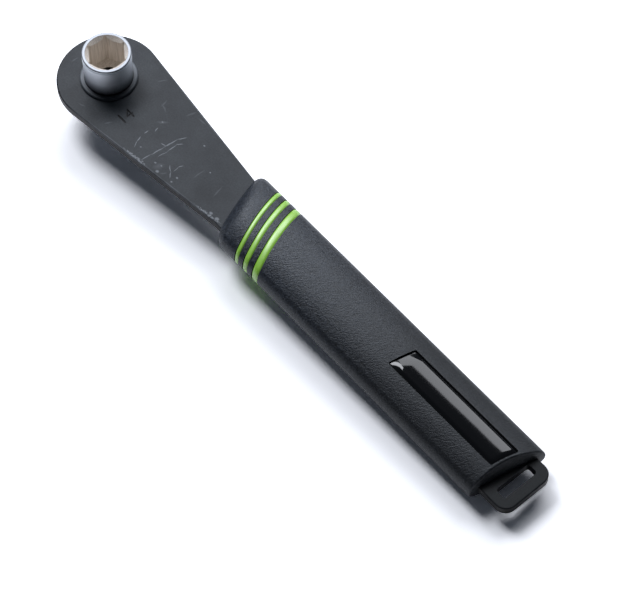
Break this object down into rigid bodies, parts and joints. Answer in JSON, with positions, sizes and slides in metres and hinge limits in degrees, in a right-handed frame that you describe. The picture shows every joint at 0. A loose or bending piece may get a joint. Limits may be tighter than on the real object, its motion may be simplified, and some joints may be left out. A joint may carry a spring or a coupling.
{
  "type": "bicycle crank-bolt wrench",
  "caption": "Flat steel lever with a double-ended hexagonal socket through its round head, a soft oval grip with slanted ends and green rings, and a slotted hanging loop.",
  "frame": {"origin": "on the socket's axis, in the middle of the lever's thickness", "axes": "+X from the socket along the lever to the hanging loop, +Z along the socket's axis with the 14 mm mouth up"},
  "size_m": [0.2694, 0.0426, 0.0384],
  "materials": {
    "black_steel": "blackened stamped steel, satin, scratched and worn bright at some edges",
    "plated_steel": "dark bright plating with a polished rim",
    "soft_grip": "fine-grained soft moulding, dull",
    "green_rubber": "bright green, satin",
    "badge_resin": "clear domed resin over a plain black face, glossy"
  },
  "bodies": {
    "root": {"blade": "black_steel", "socket": "plated_steel", "grip": "soft_grip", "green_band_front": "green_rubber", "green_band_middle": "green_rubber", "green_band_rear": "green_rubber", "badge": "badge_resin"}
  },
  "joints": []
}
